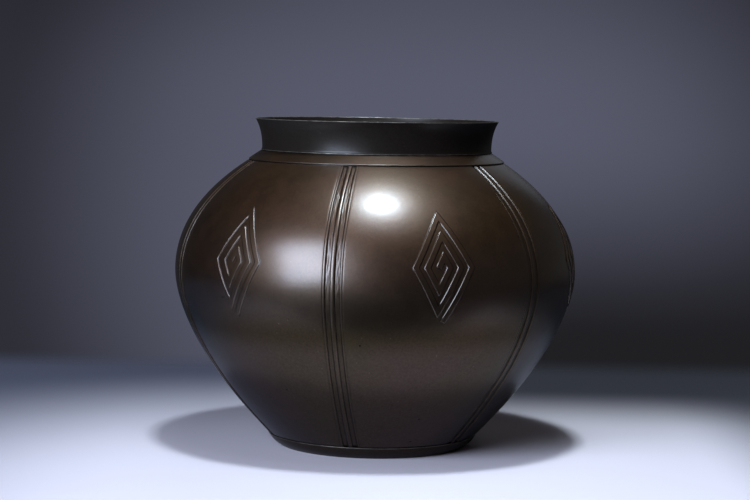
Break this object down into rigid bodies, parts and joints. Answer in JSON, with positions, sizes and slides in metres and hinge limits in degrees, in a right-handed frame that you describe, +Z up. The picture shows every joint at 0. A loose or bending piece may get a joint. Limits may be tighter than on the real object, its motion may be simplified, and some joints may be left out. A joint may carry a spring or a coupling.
{
  "type": "bronze flower vase",
  "caption": "Broad-shouldered cast bronze flower vase with a short flaring neck, double-channel bands between its panels, a lozenge fret on each panel and a small foot ring.",
  "frame": {"origin": "centre of the foot's underside, on the surface that the vase stands on", "axes": "+Z up along the vase's axis of revolution; -Y out through the middle of one ornamented panel; a band lies on +X"},
  "size_m": [0.3, 0.301, 0.2447],
  "materials": {
    "brown_patina": "cast bronze with a waxed satin brown patina that drifts between olive and red brown",
    "dark_patina": "turned bronze with a waxed near-black brown patina",
    "solder": "dull grey solder left as it ran"
  },
  "bodies": {
    "root": {"body_shell": "brown_patina", "shoulder_ring": "brown_patina", "neck_collar": "dark_patina", "foot_ring": "dark_patina", "base_plate": "dark_patina", "collar_solder_seam": "solder", "shoulder_solder_seam": "solder", "foot_solder_seam": "solder", "base_solder_seam": "solder"}
  },
  "joints": []
}
